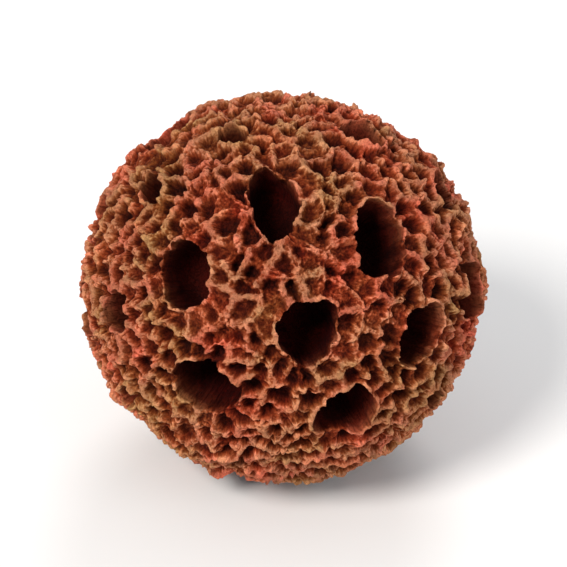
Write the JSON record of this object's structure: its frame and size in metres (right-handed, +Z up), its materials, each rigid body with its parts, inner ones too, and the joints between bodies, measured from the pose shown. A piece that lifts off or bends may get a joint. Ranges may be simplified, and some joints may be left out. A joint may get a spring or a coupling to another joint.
{
  "type": "sweetgum seed ball",
  "caption": "Dry woody seed ball of a sweetgum tree: a round head of fused seed capsules with oval openings and a rough net of woody strands and hollows between them, resting on its stalk scar.",
  "frame": {"origin": "on the surface that the ball rests on, at the middle of the ball's outline seen from above", "axes": "+Z up, from the stalk scar to the top of the ball; -Y towards the viewer of the picture; +X to the viewer's right"},
  "size_m": [0.0305, 0.0304, 0.0283],
  "materials": {
    "husk": "Dry, matt red-brown wood, lighter orange-brown on the worn crests of the strands and lips, dark red-brown in the hollows, nearly black inside the openings."
  },
  "bodies": {
    "root": {"seed_ball": "husk"}
  },
  "joints": []
}
